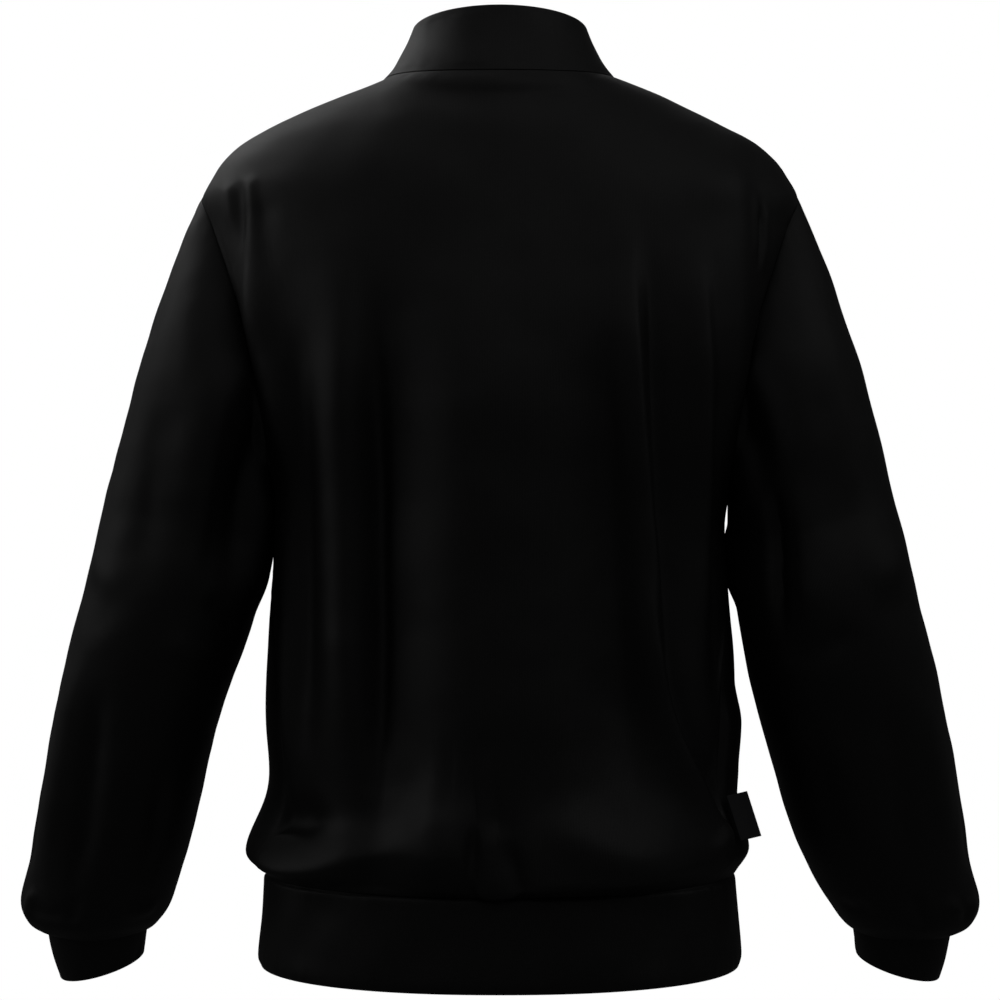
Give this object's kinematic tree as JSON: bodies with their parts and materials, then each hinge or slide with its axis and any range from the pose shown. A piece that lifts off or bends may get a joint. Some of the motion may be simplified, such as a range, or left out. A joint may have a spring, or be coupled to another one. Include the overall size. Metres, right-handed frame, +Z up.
{
  "type": "half-zip sweatshirt",
  "caption": "Long-sleeved half-zip sweatshirt with a stand collar, hem band and cuffs, filled out as worn, its zip nearly closed.",
  "frame": {"origin": "middle of the neck base, level with the points where the collar meets the shoulder seams, where the garment hangs from the wearer's shoulders", "axes": "+Z up the body, +Y towards the wearer's back, +X towards the wearer's left"},
  "size_m": [0.7946, 0.2908, 0.7839],
  "materials": {
    "cloth": "matte black brushed sweatshirt jersey, smooth outside",
    "zip_tape": "matte black woven zip tape and moulded teeth",
    "zip_metal": "satin black enamelled zip slider, tab and stops",
    "label": "blank dark grey woven label"
  },
  "bodies": {
    "sweatshirt": {"back_panel": "cloth", "front_panel": "cloth", "sleeve_left": "cloth", "sleeve_right": "cloth", "collar": "cloth", "hem_band": "cloth", "cuff_left": "cloth", "cuff_right": "cloth", "zip_tape_left": "zip_tape", "zip_tape_right": "zip_tape", "zip_chain": "zip_tape", "zip_stop_top_left": "zip_metal", "zip_stop_top_right": "zip_metal", "zip_stop_bottom": "zip_metal", "zip_slider": "zip_metal", "side_label": "label"},
    "pull_tab": {"pull_tab": "zip_metal"}
  },
  "joints": [
    {"name": "pull_tab_hinge", "type": "hinge", "parent": "sweatshirt", "child": "pull_tab", "pos_m": [0, -0.09285, 0.00428], "axis": [-1, 0, 0], "range_deg": [0, 150]}
  ]
}
